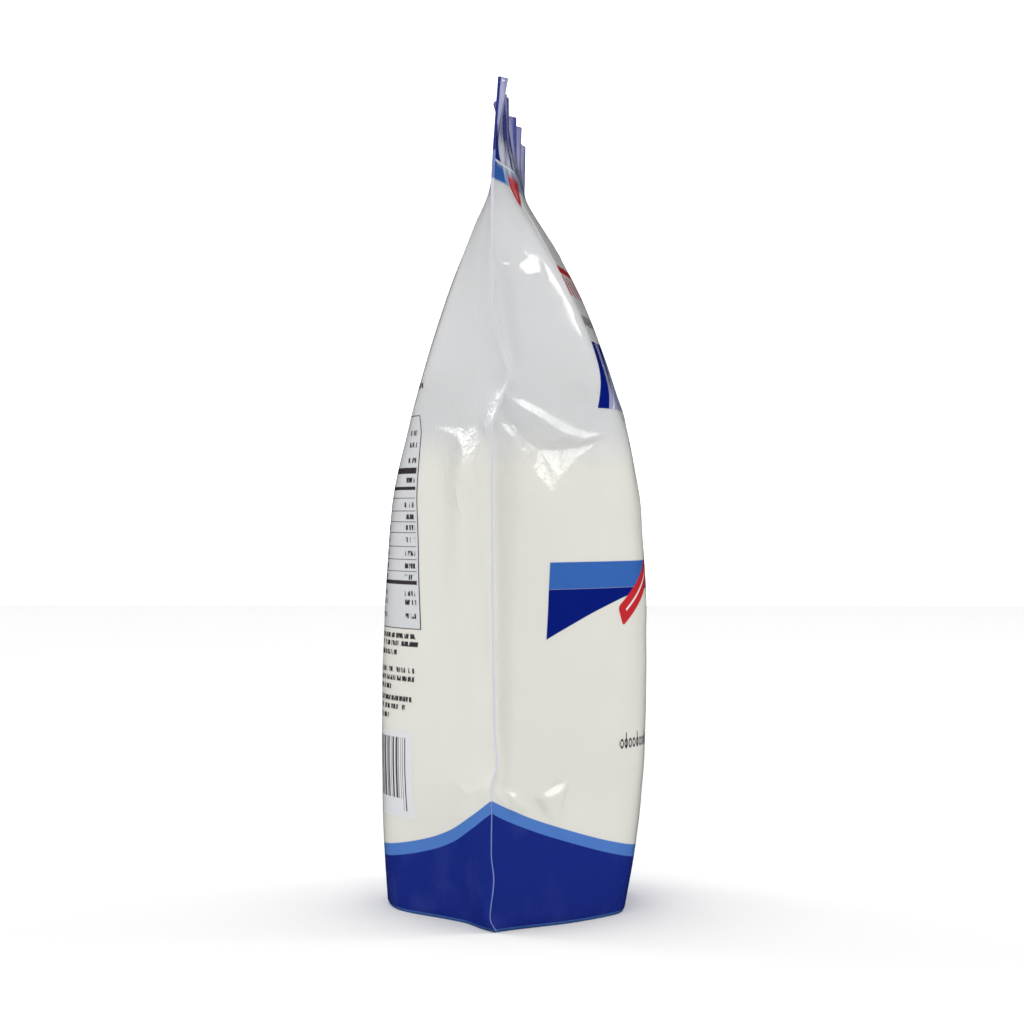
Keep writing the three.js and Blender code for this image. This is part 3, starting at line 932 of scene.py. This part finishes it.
def add_bump(tree, shader, height, distance):
    bump = tree.nodes.new("ShaderNodeBump")
    bump.inputs["Strength"].default_value = 1.0
    bump.inputs["Distance"].default_value = distance
    tree.links.new(height.socket, bump.inputs["Height"])
    tree.links.new(bump.outputs["Normal"], shader.inputs["Normal"])


# ---- print ----
NAVY = linear(27, 43, 128)
NAVY_BANNER = linear(8, 28, 118)
NAVY_FIN = linear(38, 50, 132)
# Pale lavender of the painted sheen on the fin's folds:
FIN_SHEEN_LAVENDER = linear(172, 172, 206)
BORDER_BLUE = linear(80, 124, 196)
SCUFF = linear(110, 122, 180)
SKY = linear(56, 102, 178)
SKY_PALE = linear(150, 178, 216)
RED = linear(196, 44, 50)
INK_GREY = linear(58, 54, 58)
LAVENDER = linear(160, 162, 196)
# White of the print, also used for the painted sheen on the fin.
WHITE_PRINT_AND_SHEEN = linear(232, 234, 238)
TABLE_WHITE = linear(222, 223, 226)
BARCODE_WHITE = linear(228, 229, 232)
# How opaque thinner inks, and the painted sheen on the fin, are.
LINE_INK = 0.95
SMALL_INK = 0.9
PALE_INK = 0.85
FAINT_INK = 0.8
TABLE_INK = 0.5


def lay_bands(painter, s, z, scuffed):
    """The blue band round the foot, with its lighter border."""
    depth = s * s * (BAND_RISE / HALF_FILM**2) + BAND_LOW - z
    painter.lay(BORDER_BLUE, depth.above(0))
    painter.lay(NAVY, depth.above(BAND_BORDER))
    scuffs = depth.above(BAND_BORDER, 1).both(scuffed.above(0.58, 0.2))
    painter.lay(SCUFF, scuffs * SCUFF_SHARE)
    painter.lay(BORDER_BLUE, z.below(BAND_FOOT_LINE) * FOOT_LINE_SHARE)


def lay_header(painter, s, z, front, wear_and_sheen):
    """The header and the fin: blue ink, the header rubbed pale where the film is folded; on the fin a
    painted sheen, lavender and white, and a painted shade line at each end's fold.
    """
    end = abs(s)
    header = z.above(HEADER_SKY_FROM, 0.8)
    pale = header.both(end.within(*HEADER_PALE, 3))
    painter.lay(SKY, header, SMALL_INK)
    painter.lay(SKY_PALE, pale * PALE_INK, PALE_INK)
    painter.lay(WHITE_PRINT_AND_SHEEN, pale.both(wear_and_sheen.above(0.54, 0.1)), FAINT_INK)
    lay_wedge(painter, s, z, front, wear_and_sheen)
    painter.lay(WHITE_PRINT_AND_SHEEN, z.above(HEADER_NAVY_FROM - HEADER_GAP))
    fin = z.above(HEADER_NAVY_FROM)
    painter.lay(NAVY_FIN, fin)
    # Painted sheen: the fin is painted pale lavender where its folds would mirror light, more so near its
    # ends and foot.
    fin_sheen_amount = wear_and_sheen + end.above(*FIN_END_SHEEN) * 0.22 + z.below(*FIN_FOOT_SHEEN) * 0.1
    painter.lay(FIN_SHEEN_LAVENDER, fin.both(fin_sheen_amount.above(0.56, 0.32)), SMALL_INK)
    # Painted sheen: white patches low on the fin stand in for light mirrored by its folds.
    fin_white_sheen = z.within(HEADER_NAVY_FROM, WHITE_SHEEN_TOP, 4).both(end.within(*WHITE_SHEEN_ENDS, 8))
    painter.lay(WHITE_PRINT_AND_SHEEN, fin_white_sheen.both(wear_and_sheen.above(0.45, 0.2)) * PALE_INK, FAINT_INK)
    corner = (end * FIN_CORNER_LEAN - z + FIN_CORNER).above(0, 0.6)
    painter.lay(NAVY_FIN, fin.both(corner))
    # Painted shade: a darker navy line beside each fin end stands in for the shade of its fold.
    painter.lay(NAVY, fin.both(end.within(*FIN_FOLD_SHADE, 0.6)))


def lay_wedge(painter, s, z, front, wear_and_sheen):
    """A red wedge that hangs from the header at each corner."""
    inwards = WEDGE_TIP["end"] - abs(s)
    rise = z - WEDGE_TIP["z"]
    outer = (inwards + rise * WEDGE_OUTER_LEAN).both(inwards + WEDGE_REACH)
    inner = rise * WEDGE_INNER_LEAN - inwards
    wedge = outer.both(inner).above(0).both(z.within(WEDGE_TIP["z"], WEDGE_TOP, 2.5))
    rubbed = wear_and_sheen.below(0.58, 0.2) * 0.6 + 0.4
    painter.lay(RED, front.both(wedge).both(rubbed), SMALL_INK)


def lay_front(painter, s, z, front):
    """Banner, tag and plain ornaments of the front."""
    banner = front.both(abs(s).below(BANNER_HALF))
    arc = s * s * (-BANNER_ARC_RISE / BANNER_HALF**2) + (BANNER_LOW + BANNER_ARC_RISE)
    swoop = (z - arc).above(0).both(z.below(BANNER_SPLIT))
    painter.lay(SKY, banner.both(z.within(BANNER_SPLIT, BANNER_TOP)))
    painter.lay(NAVY_BANNER, banner.both(swoop))
    lay_tag(painter, s, z, front)
    lay_panel(painter, s, z, front)
    lay_fringe(painter, s, z, front)
    lay_rings(painter, s, z, front)


def lay_tag(painter, s, z, front):
    """A plain red tag with round corners and a white line, tilted across the banner."""
    cos, sin = math.cos(TAG_TILT), math.sin(TAG_TILT)
    across, up = s - TAG_CENTRE[0], z - TAG_CENTRE[1]
    run = abs(across * cos + up * sin)
    rise = abs(across * -sin + up * cos)
    straight = (run - (TAG_HALF_LENGTH - TAG_ROUNDING)).either(0)
    upright = (rise - (TAG_HALF_HEIGHT - TAG_ROUNDING)).either(0)
    distance = (straight * straight + upright * upright).root()
    painter.lay(RED, front.both(distance.below(TAG_ROUNDING)))
    line = rise.below(TAG_LINE_HALF).both(run.below(TAG_LINE_REACH))
    painter.lay(WHITE_PRINT_AND_SHEEN, front.both(line))


def lay_panel(painter, s, z, front):
    """A blue panel with two pale bars and a pale middle that widens downwards."""
    end = abs(s)
    panel = front.both(end.below(PANEL_HALF)).both(z.within(PANEL_FOOT, PANEL_TOP))
    lean = end + z * PANEL_LEAN
    pale = end.within(*PANEL_BAR).either(lean.below(PANEL_MIDDLE))
    rim = lean.within(PANEL_MIDDLE, PANEL_MIDDLE + PANEL_RIM)
    painter.lay(NAVY_BANNER, panel)
    painter.lay(LAVENDER, panel.both(pale))
    painter.lay(WHITE_PRINT_AND_SHEEN, panel.both(rim))


def lay_fringe(painter, s, z, front):
    """A red rule with slanted red dashes under it, and a row of grey dashes."""
    end = abs(s)
    slanted = (s + z * DASH_LEAN).repeat(DASH_PITCH).below(DASH_HALF)
    dashes = slanted.both(z.within(*DASH_BAND))
    rule = z.within(*RULE_BAND)
    red = end.below(FRINGE_HALF).both(rule.either(dashes))
    painter.lay(RED, front.both(red), LINE_INK)
    grey = s.repeat(GREY_PITCH).below(GREY_HALF, 0.3).both(z.within(*GREY_BAND, 0.3))
    painter.lay(INK_GREY, front.both(grey).both(end.below(GREY_REACH, 0.3)), SMALL_INK)


def lay_rings(painter, s, z, front):
    """One bold line of plain rings and bars low on the front."""
    across = s.repeat(RING_PITCH)
    upright = z - RING_HEIGHT
    radius = (across * across + upright * upright * RING_SQUASH).root()
    rings = radius.within(*RING_RADII, 0.2)
    bars = s.repeat(RING_PITCH * 3).below(RING_BAR_HALF, 0.15).both(z.within(*RING_BAR_BAND, 0.2))
    line = abs(s).below(RING_REACH, 0.2)
    painter.lay(INK_GREY, front.both(line).both(rings.either(bars)), LINE_INK)


def strokes(tree, s, z, seed, pitch):
    """Noise that makes uneven upright strokes."""
    combine = tree.nodes.new("ShaderNodeCombineXYZ")
    tree.links.new((s / pitch).socket, combine.inputs[0])
    tree.links.new((z * STROKE_DRIFT + seed).socket, combine.inputs[1])
    return noise(tree, combine.outputs[0], 1.0, 1.0)


def any_of(masks):
    total = masks[0]
    for mask in masks[1:]:
        total = total.either(mask)
    return total


def lay_back(painter, s, z, back):
    """Ruled table, note lines and barcode of the back."""
    lay_table(painter, s - (z - TABLE_FOOT) * TABLE_LEAN, z, back)
    lay_notes(painter, s, z, back)
    lay_barcode(painter, s, z, back)


def lay_table(painter, s, z, back):
    """The ruled table: s is measured along its own, leaning, edge."""
    far_edge = TABLE_EDGE + TABLE_WIDTH
    upright = z.within(TABLE_FOOT, TABLE_TOP)
    inside = s.within(TABLE_EDGE, far_edge).both(upright)
    painter.lay(TABLE_WHITE, back.both(inside), TABLE_INK)
    columns = s.within(TABLE_EDGE + TABLE_MARGIN, far_edge - TABLE_MARGIN)
    lines = [s.near(TABLE_EDGE, 0.3, 0.2).both(upright)]
    lines += [z.near(edge, 0.28, 0.2).both(inside) for edge in (TABLE_FOOT, TABLE_TOP)]
    lines += [z.near(height, THIN_HALF, 0.2).both(columns) for height in THIN_RULES]
    lines += [z.near(height, half, 0.2).both(columns) for height, half in THICK_RULES]
    painter.lay(INK_GREY, back.both(any_of(lines)), LINE_INK)
    marks = strokes(painter.tree, s, z, 3.0, 1.5).above(0.5, 0.06)
    rows = any_of([z.near(row, TEXT_HALF, 0.3) for row in TEXT_ROWS])
    amounts = s.within(TABLE_EDGE + 2, TABLE_EDGE + 9, 0.4)
    names = s.within(TABLE_EDGE + 26, far_edge - 3, 0.4)
    painter.lay(INK_GREY, back.both(rows).both(marks).both(amounts.either(names)), SMALL_INK)


def lay_notes(painter, s, z, back):
    """Rows of strokes below the table, each with its own length, and one above it."""
    marks = strokes(painter.tree, s, z, 9.0, 1.3).above(0.46, 0.06)
    rows = [z.near(TOP_NOTE["height"], TOP_NOTE["half"], 0.3).both(s.within(*TOP_NOTE["ends"], 0.4))]
    for height, near_end in NOTE_LINES:
        rows.append(z.near(height, TEXT_HALF, 0.3).both(s.within(near_end, NOTE_END, 0.4)))
    painter.lay(INK_GREY, back.both(any_of(rows)).both(marks), SMALL_INK)


def lay_barcode(painter, s, z, back):
    """A barcode of random bars, behind a guard of even ones, on a pale patch."""
    tree = painter.tree
    start, end = BARCODE_EDGE, BARCODE_EDGE + BARCODE_WIDTH
    patch = s.within(start - BARCODE_MARGIN, end + BARCODE_MARGIN)
    patch = patch.both(z.within(*BARCODE_PATCH))
    painter.lay(BARCODE_WHITE, back.both(patch), FAINT_INK)
    combine = tree.nodes.new("ShaderNodeCombineXYZ")
    tree.links.new((s / BARCODE_PITCH).socket, combine.inputs[0])
    stripes = noise(tree, combine.outputs[0], 1.0, 1.5).above(0.5, 0.05)
    guard = abs(s - start - 1.0).repeat(1.7).below(0.32, 0.1).both(s.within(start, start + GUARD, 0.1))
    body = stripes.both(s.within(start + GUARD, end, 0.1))
    short = body.both(z.within(BARCODE_FOOT + GUARD_DROP, BARCODE_TOP, 0.2))
    tall = guard.both(z.within(BARCODE_FOOT, BARCODE_TOP, 0.2))
    painter.lay(INK_GREY, back.both(short.either(tall)), LINE_INK)


# ---- materials ----
FILM_MILK = linear(229, 230, 231)
FILM_OVER_FLOUR = linear(244, 243, 236)
TINT_ONLY = 0.0  # the tint over the flour doesn't make the film more opaque
FLOUR_TONE_TO = 131.0  # height up to which the film takes the flour's tone
FLOUR_TONE_BLUR = 12.0
FLOUR_TONE_WANDER = 10.0
MILK_OPACITY = 0.72
INK_OPACITY = 0.985
FILM_IOR = 1.5
FILM_BUMP = 0.00016  # metres, as are the other bumps
CRINKLES = {"low": 120.0, "high": 158.0, "from": 34.0, "height": 2.3}
BEAD_GROUND = linear(212, 212, 219)
BEAD_PRINTED = linear(118, 130, 190)
BEAD_IOR = 1.33
BEAD_BUMP = 0.00015
FLOUR_LIGHT = linear(240, 238, 230)
FLOUR_DARK = linear(226, 222, 211)
FLOUR_SPECK = linear(120, 100, 80)
FLOUR_BUMP = 0.0004


def film_coordinates(tree):
    """s, z and which face, from the film's own map."""
    uv = tree.nodes.new("ShaderNodeUVMap")
    uv.uv_map = "film"
    split = tree.nodes.new("ShaderNodeSeparateXYZ")
    tree.links.new(uv.outputs["UV"], split.inputs["Vector"])
    u = Formula(tree, split.outputs["X"]) / MM
    z = Formula(tree, split.outputs["Y"]) / MM
    back = u.within(BACK_U / 2, (BACK_U + BASE_U) / 2, 1.0)
    base = u.above((BACK_U + BASE_U) / 2, 1.0)
    front = u.below(BACK_U / 2, 1.0)
    s = u - back * BACK_U - base * BASE_U
    return s, z, front, back, base


def film_material():
    """Milky, glossy film with its print; it crinkles round the edge of the flour."""
    material, tree, shader = new_material("milky_film")
    s, z, front, back, base = film_coordinates(tree)
    coordinates = object_coordinates(tree)
    clouds = noise(tree, coordinates, 65.0, 3.0)
    # Noise for rubbed print, roughness and the painted sheen on the fin.
    wear_and_sheen = noise(tree, coordinates, 190.0, 3.0, (1.0, 1.0, 0.2))
    fine = noise(tree, coordinates, 700.0, 2.0)
    folds = abs(noise(tree, coordinates, 420.0, 3.0) - 0.5)
    painter = Painter(tree, FILM_MILK)
    tone_edge = clouds * FLOUR_TONE_WANDER + FLOUR_TONE_TO
    painter.lay(FILM_OVER_FLOUR, (tone_edge - z).above(0, FLOUR_TONE_BLUR), TINT_ONLY)
    lay_front(painter, s, z, front)
    lay_back(painter, s, z, back)
    lay_bands(painter, s, z, clouds)
    lay_header(painter, s, z, front, wear_and_sheen)
    painter.lay(NAVY, base)
    alpha = painter.cover * (INK_OPACITY - MILK_OPACITY) + MILK_OPACITY
    crinkled = z.within(CRINKLES["low"], CRINKLES["high"], 12).both(abs(s).above(CRINKLES["from"], 16))
    height = clouds * 0.7 + fine * 0.15 + folds * crinkled * CRINKLES["height"]
    tree.links.new(painter.colour, shader.inputs["Base Color"])
    tree.links.new(alpha.socket, shader.inputs["Alpha"])
    tree.links.new((fine * 0.05 + wear_and_sheen * 0.05 + 0.04).socket, shader.inputs["Roughness"])
    shader.inputs["IOR"].default_value = FILM_IOR
    add_bump(tree, shader, height, FILM_BUMP)
    return material


def weld_material():
    """Melted film: pale, but bluish where the film beside it is printed."""
    material, tree, shader = new_material("weld_bead")
    z = film_coordinates(tree)[1]
    painter = Painter(tree, BEAD_GROUND)
    printed = z.below(BAND_LOW + BAND_RISE, 0.5).either(z.above(HEADER_SKY_FROM, 0.5))
    painter.lay(BEAD_PRINTED, printed)
    painter.lay(NAVY_FIN, z.above(HEADER_NAVY_FROM + 2, 0.5))
    lumps = noise(tree, object_coordinates(tree), 500.0, 3.0)
    tree.links.new(painter.colour, shader.inputs["Base Color"])
    tree.links.new((lumps * 0.15 + 0.4).socket, shader.inputs["Roughness"])
    shader.inputs["IOR"].default_value = BEAD_IOR
    add_bump(tree, shader, lumps, BEAD_BUMP)
    return material


def flour_material():
    """Packed flour: dull, with faint clumps and a few bran specks."""
    material, tree, shader = new_material("flour")
    coordinates = object_coordinates(tree)
    painter = Painter(tree, FLOUR_LIGHT)
    clumps = noise(tree, coordinates, 140.0, 4.0)
    painter.lay(FLOUR_DARK, clumps.above(0.5, 0.5))
    specks = noise(tree, coordinates, 620.0, 0.0)
    painter.lay(FLOUR_SPECK, specks.above(0.86, 0.02))
    grain = noise(tree, coordinates, 1500.0, 3.0) + clumps * 0.6
    tree.links.new(painter.colour, shader.inputs["Base Color"])
    shader.inputs["Roughness"].default_value = 0.95
    shader.inputs["Specular IOR Level"].default_value = 0.2
    add_bump(tree, shader, grain, FLOUR_BUMP)
    return material


def dress(piece, material):
    piece.data.materials.append(material)
    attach(piece, "root")


# ---- stage, metres ----
CAMERA_AT = (-0.9463, -0.0407, 0.1182)
CAMERA_TURN = math.radians(2.5)  # the line of sight is turned this much from +X to +Y
CAMERA_LENS = 109.6
CAMERA_SENSOR = 36.0
PAPER_GREY = (0.76, 0.76, 0.76, 1)
WALL_GREY = (0.5, 0.5, 0.5, 1)
WALL_GLOW = 1.0
FLOOR_REACH = 6.0
WALL_AWAY = 3.0
WALL_TOP = 3.0
WORLD_LIGHT = 0.84  # from all sides, like a light tent
WORLD_SLANT = 0.19  # a little more of it from +Y, a little less from -Y
SUN = {"power": 1.0, "angle": math.radians(50)}
LAMP_AIM = (0, 0, 0.12)
# Place, size and power of the lamps that the film mirrors.
LAMPS = {
    "right_softbox": ((0.36, -1.14, 0.65), (0.70, 0.32), 4.3),
    "left_softbox": ((0.68, 0.97, 0.65), (0.60, 0.34), 3.5),
    "front_softbox": ((-1.5, 0.1, 1.0), (1.4, 1.0), 1.6),
}


def make_camera():
    data = bpy.data.cameras.new("camera")
    data.lens = CAMERA_LENS
    data.sensor_width = CAMERA_SENSOR
    data.clip_start = 0.01
    data.clip_end = 50
    camera = put("camera", data, CAMERA_AT)
    camera.rotation_euler = (math.pi / 2, 0, CAMERA_TURN - math.pi / 2)
    bpy.context.scene.camera = camera


def stage_material(name, colour, glow):
    material, tree, shader = new_material(name)
    grain = noise(tree, object_coordinates(tree), 300.0, 2.0)
    tree.links.new((grain * 0.1 + 0.75).socket, shader.inputs["Roughness"])
    shader.inputs["Base Color"].default_value = colour
    shader.inputs["Specular IOR Level"].default_value = 0.1
    shader.inputs["Emission Color"].default_value = (1, 1, 1, 1)
    shader.inputs["Emission Strength"].default_value = glow
    return material


def make_sheet(name, corners, material):
    """A flat sheet of the stage, which the film doesn't mirror."""
    mesh = bpy.data.meshes.new(name)
    mesh.from_pydata(corners, [], [(0, 1, 2, 3)])
    mesh.materials.append(material)
    sheet = put(name, mesh)
    sheet.visible_glossy = False


def make_stage():
    """A white floor and a white wall far behind."""
    reach, away, top = FLOOR_REACH, WALL_AWAY, WALL_TOP
    floor = [(-reach, -reach, 0), (reach, -reach, 0), (reach, reach, 0), (-reach, reach, 0)]
    backdrop = [(away, -reach, 0), (away, -reach, top), (away, reach, top), (away, reach, 0)]
    make_sheet("floor", floor, stage_material("stage_paper", PAPER_GREY, 0.0))
    make_sheet("backdrop", backdrop, stage_material("stage_wall", WALL_GREY, WALL_GLOW))


def make_world():
    """Even light from all sides, which the film doesn't mirror."""
    world = bpy.data.worlds.new("studio")
    world.use_nodes = True
    tree = world.node_tree
    background = tree.nodes["Background"]
    background.inputs["Color"].default_value = (1, 1, 1, 1)
    direction = tree.nodes.new("ShaderNodeTexCoord").outputs["Generated"]
    parts = tree.nodes.new("ShaderNodeSeparateXYZ")
    tree.links.new(direction, parts.inputs[0])
    strength = Formula(tree, parts.outputs["Y"]) * WORLD_SLANT + WORLD_LIGHT
    tree.links.new(strength.socket, background.inputs["Strength"])
    bpy.context.scene.world = world
    world.cycles_visibility.glossy = False


def make_lamps():
    sun = bpy.data.lights.new("top_light", "SUN")
    sun.energy = SUN["power"]
    sun.angle = SUN["angle"]
    put("top_light", sun, (0, 0, 2))
    for name, (at, size, power) in LAMPS.items():
        data = bpy.data.lights.new(name, "AREA")
        data.shape = "RECTANGLE"
        data.size, data.size_y = size
        data.energy = power
        direction = Vector(LAMP_AIM) - Vector(at)
        put(name, data, at).rotation_euler = direction.to_track_quat("-Z", "Y").to_euler()


# ---- make ----
make_camera()
make_stage()
make_world()
make_lamps()
bpy.context.scene.view_settings.view_transform = "Standard"

film = make_film()
dress(film, film_material())
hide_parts("flour_bag")
flour = make_flour()
dress(flour, flour_material())
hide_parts("flour_bag")
bead_material = weld_material()
dress(make_weld("side_weld_near", -1), bead_material)
dress(make_weld("side_weld_far", 1), bead_material)
